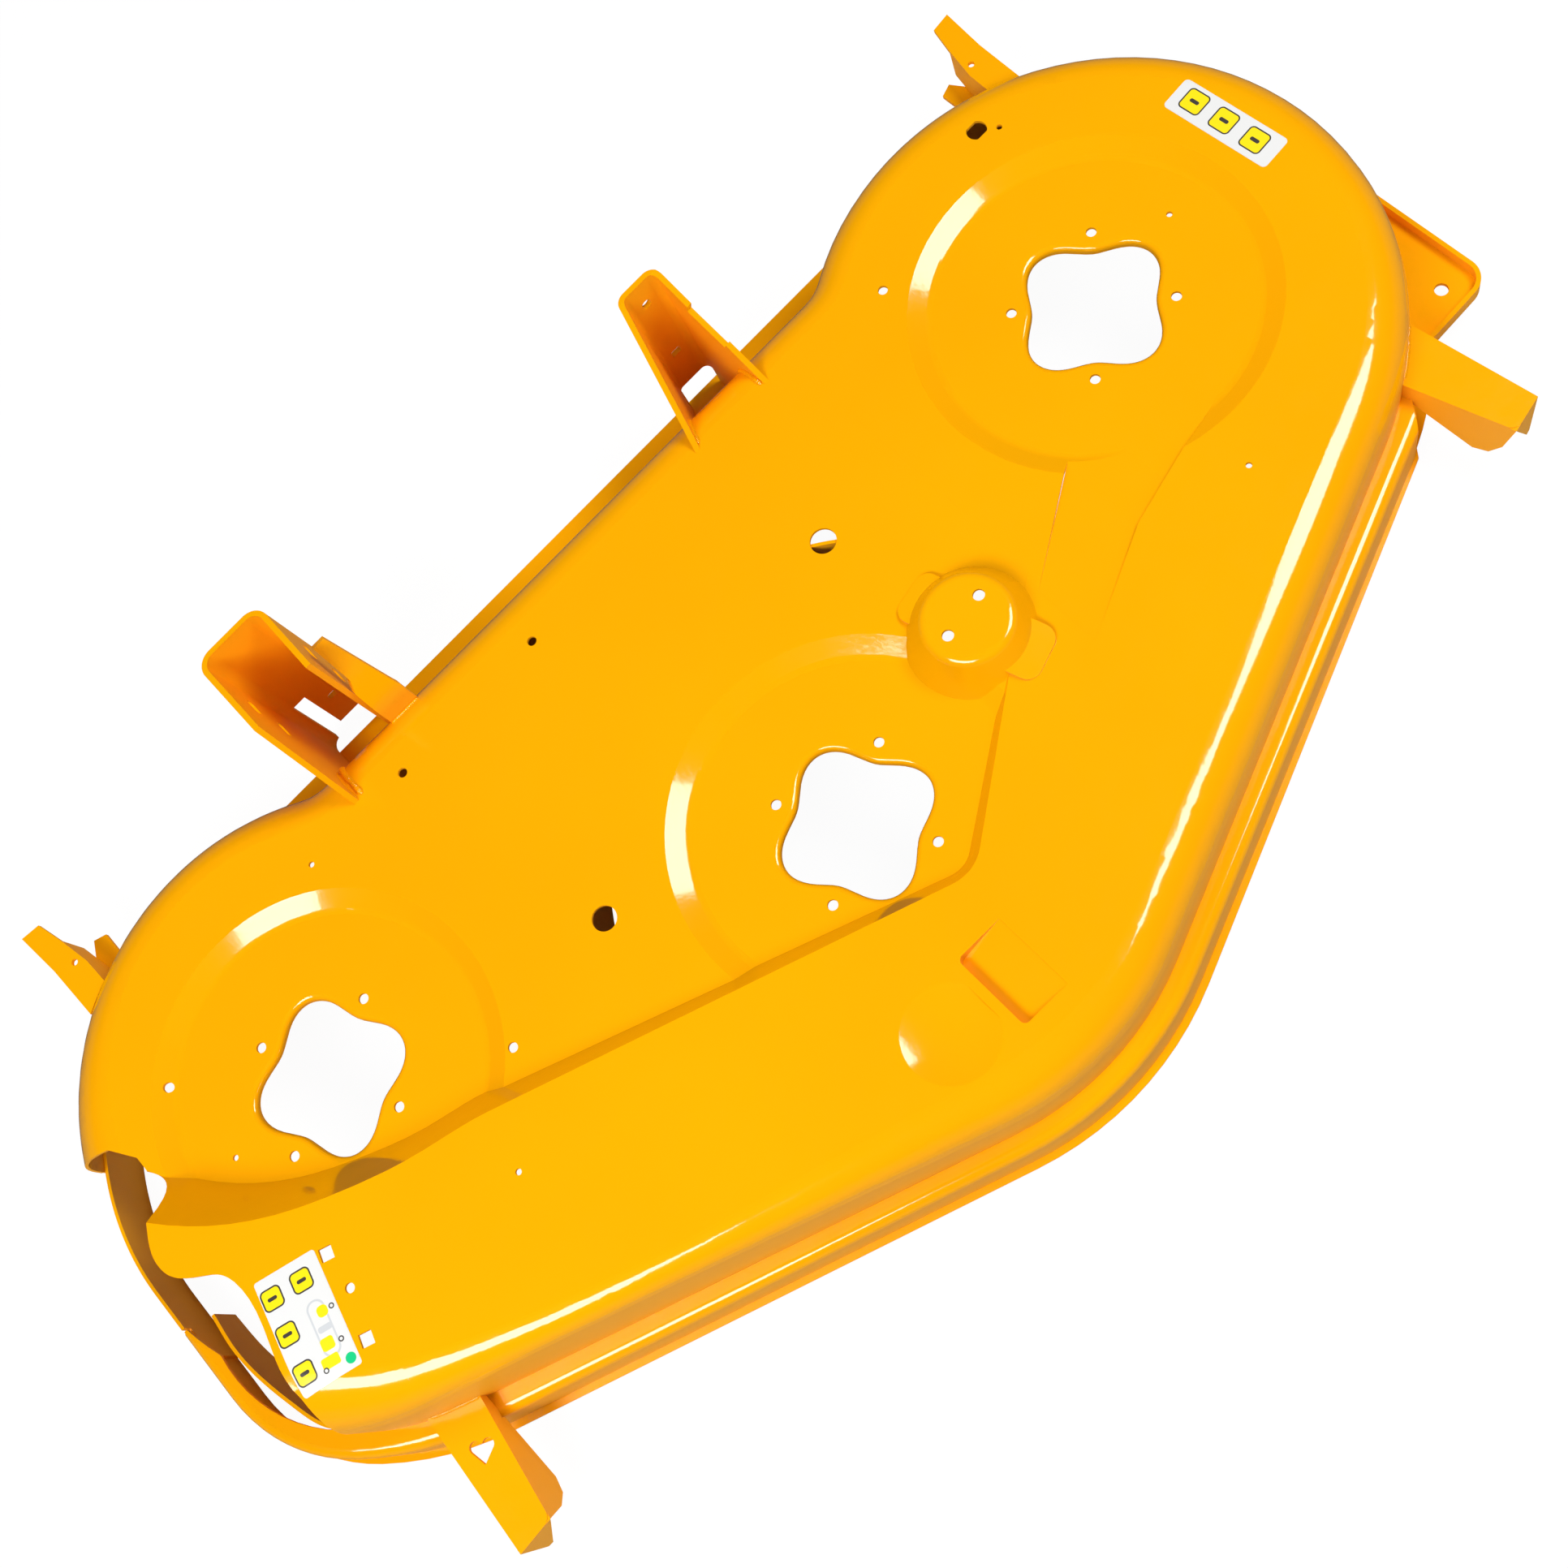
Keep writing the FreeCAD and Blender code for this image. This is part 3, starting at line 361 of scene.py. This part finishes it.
def front_plate_print():
    show = Print("front_plate_print")
    for place in ((17.0, 35.5), (17.5, 9.5), (48.0, 9.5), (80.5, 10.0)):
        show.framed_field(place, 15.0, 15.0, 3.0, FIELD_YELLOW)
        show.field(place, 3.0, 8.0, 1.4, FIELD_DARK)
    show.field((58.0, 37.0), 46.0, 15.0, 7.0, FIELD_GREY)
    show.field((58.0, 37.0), 43.0, 12.0, 6.0, WHITE)
    show.field((46.0, 41.0), 9.0, 9.0, 3.5, FIELD_YELLOW)
    show.field((70.0, 35.0), 10.0, 11.0, 2.5, FIELD_YELLOW)
    show.field((83.0, 32.0), 9.0, 15.0, 2.0, FIELD_YELLOW)
    show.field((58.5, 38.0), 5.0, 12.0, 2.0, FIELD_GREY)
    for place in ((46.0, 49.0), (72.0, 46.0), (87.5, 26.0)):
        show.field(place, 4.6, 4.6, 2.3, FIELD_DARK)
        show.field(place, 2.6, 2.6, 1.3, WHITE)
    show.field((88.5, 47.0), 8.6, 8.6, 4.3, FIELD_GREEN)
    return show.done()


def rear_plate_print():
    show = Print("rear_plate_print")
    for place in ((20.0, 17.5), (52.0, 17.0), (85.0, 16.5)):
        show.framed_field(place, 19.0, 19.0, 3.0, FIELD_YELLOW)
        show.field(place, 9.0, 3.6, 1.6, FIELD_DARK)
    return show.done()


lay_plate("front_plate", front_plate_print(), centre=(-565.2, 11.6), along=(-0.242, -0.970),
          length=96.5, width=53.5, corner=2.6)
lay_plate("rear_plate", rear_plate_print(), centre=(639.5, 199.0), along=(0.06, -0.998),
          length=108.5, width=32.0, corner=4.0)


# Welded seams: a rippled bead that follows a path over the deck. Its sizes are in metres.

BEAD_RADIUS = 0.0022
BEAD_PITCH = 0.0021
BEAD_UNEVENNESS = 0.5
BEAD_STEP = 0.0006
BEAD_SIDES = 12
RIPPLE = 0.13
WANDER_SCALE = 160.0
TAPER_START = 0.44
TAPER_END_WIDTH = 0.35


def add_node(tree, kind, inputs=None, settings=None):
    node = tree.nodes.new(kind)
    for key, value in (settings or {}).items():
        setattr(node, key, value)
    for key, value in (inputs or {}).items():
        if isinstance(value, bpy.types.NodeSocket):
            tree.links.new(value, node.inputs[key])
        else:
            node.inputs[key].default_value = value
    return node


def bead_group():
    group = bpy.data.node_groups.new("welded_bead", "GeometryNodeTree")
    face = group.interface
    face.new_socket("Path", in_out="INPUT", socket_type="NodeSocketGeometry")
    for name in ("Radius", "Pitch", "Unevenness"):
        face.new_socket(name, in_out="INPUT", socket_type="NodeSocketFloat")
    face.new_socket("Paint", in_out="INPUT", socket_type="NodeSocketMaterial")
    face.new_socket("Bead", in_out="OUTPUT", socket_type="NodeSocketGeometry")
    start = group.nodes.new("NodeGroupInput")

    def maths(operation, *values):
        inputs = dict(enumerate(values))
        return add_node(group, "ShaderNodeMath", inputs, {"operation": operation}).outputs[0]

    path = add_node(group, "GeometryNodeMeshToCurve", {"Mesh": start.outputs["Path"]})
    even = add_node(group, "GeometryNodeResampleCurve", {
        "Curve": path.outputs[0], "Length": BEAD_STEP}, {"mode": "LENGTH"})
    along = add_node(group, "GeometryNodeSplineParameter")
    turns = maths("DIVIDE", along.outputs["Length"], start.outputs["Pitch"])
    ripple = maths("MULTIPLY", maths("SINE", maths("MULTIPLY", turns, 2.0 * math.pi)), RIPPLE)
    wander = add_node(group, "ShaderNodeTexNoise", {"Scale": WANDER_SCALE, "Detail": 2.0})
    uneven = maths("MULTIPLY", maths("SUBTRACT", wander.outputs[0], 0.5), start.outputs["Unevenness"])
    share = maths("ADD", maths("ADD", ripple, uneven), 1.0)
    from_middle = maths("ABSOLUTE", maths("SUBTRACT", along.outputs["Factor"], 0.5))
    taper = add_node(group, "ShaderNodeMapRange", {
        0: from_middle, 1: TAPER_START, 2: 0.5, 3: 1.0, 4: TAPER_END_WIDTH})
    scale = maths("MULTIPLY", share, taper.outputs[0])
    circle = add_node(group, "GeometryNodeCurvePrimitiveCircle", {
        "Resolution": BEAD_SIDES, "Radius": start.outputs["Radius"]})
    tube = add_node(group, "GeometryNodeCurveToMesh", {
        "Curve": even.outputs[0], "Profile Curve": circle.outputs[0], "Scale": scale, "Fill Caps": True})
    real = add_node(group, "GeometryNodeRealizeInstances", {"Geometry": tube.outputs[0]})
    painted = add_node(group, "GeometryNodeSetMaterial", {
        "Geometry": real.outputs[0], "Material": start.outputs["Paint"]})
    out = group.nodes.new("NodeGroupOutput")
    group.links.new(painted.outputs[0], out.inputs["Bead"])
    return group


bead_tree = bead_group()


def weld(name, path, radius=BEAD_RADIUS):
    mesh = bpy.data.meshes.new(name)
    mesh.from_pydata([tuple(p) for p in path], [(k, k + 1) for k in range(len(path) - 1)], [])
    bead = bpy.data.objects.new(name, mesh)
    bpy.context.collection.objects.link(bead)
    modifier = bead.modifiers.new("bead", "NODES")
    modifier.node_group = bead_tree
    wanted = {"Radius": radius, "Pitch": BEAD_PITCH, "Unevenness": BEAD_UNEVENNESS, "Paint": seam_paint}
    for item in bead_tree.interface.items_tree:
        if item.in_out == "INPUT" and item.name in wanted:
            modifier[item.identifier] = wanted[item.name]
    seen = bead.evaluated_get(bpy.context.evaluated_depsgraph_get())
    baked = bpy.data.meshes.new_from_object(seen)
    bead.modifiers.remove(modifier)
    bead.data = baked
    baked.name = name
    for polygon in baked.polygons:
        polygon.use_smooth = True
    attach(bead, "root")


# Spindle places and levels are in millimetres; the rest is in metres.
LEFT_SPINDLE = (450.0, 171.3)
RIGHT_SPINDLE = (-450.0, 171.3)
ROLLER_ROOT_Z = -40.5
WHEEL_STRAP_Z = -20.5
TRAY_Z = -91.0
LOWEST_TOP_SEAM = -0.05
STAND_OFF = 0.08
THIN_BEAD = 0.0016
TRAY_BEAD = 0.0018
WIDE_BEAD = 0.0026


def plan_points(start, stop, count):
    # Even places between two plan points in millimetres, given in metres.
    for k in range(count):
        share = k / (count - 1)
        yield (start[0] + (stop[0] - start[0]) * share) * MM, (start[1] + (stop[1] - start[1]) * share) * MM


def seam_over(start, stop, count=14):
    # Path over the deck's top between two plan points.
    path = []
    for x, y in plan_points(start, stop, count):
        hit, _ = look_down(x, y)
        if hit is not None and hit.z > LOWEST_TOP_SEAM:
            path.append(hit)
    return path


def seam_along_wall(start, stop, level, spindle, count=18):
    # Path on an upright wall at one level, found by looking toward a spindle.
    path = []
    middle = Vector((spindle[0], spindle[1], level)) * MM
    for x, y in plan_points(start, stop, count):
        spot = Vector((x, y, level * MM))
        aim = (middle - spot).normalized()
        hit, _, _, _ = shell_surface.ray_cast(spot - aim * STAND_OFF, aim)
        if hit is not None:
            path.append(hit)
    return path


def welded_seams():
    weld("weld_left_hanger_left_leg", seam_over((214.5, 337), (214.8, 374)))
    weld("weld_left_hanger_right_leg", seam_over((140.5, 339), (152.5, 374)))
    weld("weld_right_hanger_inner", seam_over((-273.2, 331), (-274.6, 375)), WIDE_BEAD)
    weld("weld_right_hanger_outer", seam_over((-280.2, 331), (-281.3, 375)))
    weld("weld_hook_strip", seam_over((-215.0, 363.5), (-184.0, 363.5)), THIN_BEAD)
    weld("weld_left_roller_root", seam_along_wall((563, -40), (610, -20), ROLLER_ROOT_Z, LEFT_SPINDLE))
    weld("weld_right_roller_root", seam_along_wall((-530, -98), (-572, -82), ROLLER_ROOT_Z, RIGHT_SPINDLE))
    weld("weld_left_tray", seam_along_wall((690, 75), (606, -36), TRAY_Z, LEFT_SPINDLE, 30), TRAY_BEAD)
    weld("weld_left_wheel_strap",
         seam_along_wall((553, 398), (580, 385), WHEEL_STRAP_Z, LEFT_SPINDLE), THIN_BEAD)
    weld("weld_right_wheel_strap",
         seam_along_wall((-553, 398), (-580, 385), WHEEL_STRAP_Z, RIGHT_SPINDLE), THIN_BEAD)


welded_seams()


# Light, floor and camera.

FLOOR_GAP = 0.0002
FLOOR_HALF = 6.0
WHITE_GLOW = 1.02
GLOW_SEEN = 0.94
GLOW_MIRRORED = 0.02


def grey(level):
    return (level, level, level, 1.0)


def area_light(name, place, aim, width, height, power):
    lamp = bpy.data.lights.new(name, "AREA")
    lamp.shape = "RECTANGLE"
    lamp.size = width
    lamp.size_y = height
    lamp.energy = power
    softbox = bpy.data.objects.new(name, lamp)
    bpy.context.collection.objects.link(softbox)
    softbox.location = place
    softbox.rotation_euler = (Vector(aim) - Vector(place)).to_track_quat("-Z", "Y").to_euler()
    softbox.visible_camera = False


def studio_air():
    # White to the camera, soft grey light on the object, and darker in its gloss toward the top.
    air = Finish("studio_air", world=True)
    seen = air.node("ShaderNodeLightPath", output="Is Camera Ray")
    mirrored = air.node("ShaderNodeLightPath", output="Is Glossy Ray")
    height = air.part(air.node("ShaderNodeTexCoord", output="Generated"), "Z")
    in_gloss = air.node("ShaderNodeValToRGB", {
        "stops": [(0.0, grey(0.10)), (0.12, grey(0.06)), (0.30, grey(0.01))]}, {"Fac": height})
    light = air.colour_mix(mirrored, grey(0.27), in_gloss)
    colour = air.colour_mix(seen, light, grey(1.0))
    air.surface(air.node("ShaderNodeBackground", None, {"Color": colour, "Strength": 1.0}))
    bpy.context.scene.world = air.block


def floor_finish():
    # Nearly white to the camera, with a faint shadow. A grey tone lights the object, and a dark brown
    # one is mirrored in it.
    finish = Finish("studio_floor")
    seen = finish.node("ShaderNodeLightPath", output="Is Camera Ray")
    mirrored = finish.node("ShaderNodeLightPath", output="Is Glossy Ray")
    bounce = finish.colour_mix(mirrored, grey(0.70), (0.12, 0.10, 0.08, 1.0))
    tone = finish.colour_mix(seen, bounce, grey(0.95))
    matte = finish.node("ShaderNodeBsdfDiffuse", None, {"Color": tone})
    glow = finish.node("ShaderNodeEmission", None, {"Color": grey(1.0), "Strength": WHITE_GLOW})
    share = seen * GLOW_SEEN + mirrored * GLOW_MIRRORED
    return finish.surface(finish.node("ShaderNodeMixShader", None, {0: share, 1: matte, 2: glow}))


def studio_floor():
    mesh = bpy.data.meshes.new("floor")
    bm = bmesh.new()
    level = cad_low[2] - FLOOR_GAP
    corners = [(-1, -1), (1, -1), (1, 1), (-1, 1)]
    bm.faces.new([bm.verts.new((x * FLOOR_HALF, y * FLOOR_HALF, level)) for x, y in corners])
    bm.to_mesh(mesh)
    bm.free()
    mesh.materials.append(floor_finish())
    floor = bpy.data.objects.new("floor", mesh)
    bpy.context.collection.objects.link(floor)


def studio():
    studio_air()
    studio_floor()
    area_light("left_softbox", (1.56, -0.36, 2.27), aim=(0.45, -0.08, 0.0),
               width=1.2, height=1.0, power=41)
    area_light("right_softbox", (-1.62, -0.74, 2.24), aim=(-0.466, -0.078, 0.0),
               width=1.7, height=0.95, power=58)


def photo_camera():
    data = bpy.data.cameras.new("photo_camera")
    data.sensor_width = 36.0
    data.lens = 44.916
    data.shift_x = -0.0149
    data.shift_y = -0.0126
    data.clip_start = 0.05
    data.clip_end = 30.0
    camera = bpy.data.objects.new("photo_camera", data)
    bpy.context.collection.objects.link(camera)
    camera.location = (-0.04818, -0.50448, 1.47532)
    camera.rotation_mode = "ZYX"
    camera.rotation_euler = (0.3682, -0.0348, -0.7929)
    bpy.context.scene.camera = camera


for stray in [o for o in bpy.data.objects if o.name in ("Cube", "Light", "Camera")]:
    bpy.data.objects.remove(stray)

studio()
photo_camera()
bpy.context.scene.view_settings.view_transform = "Standard"
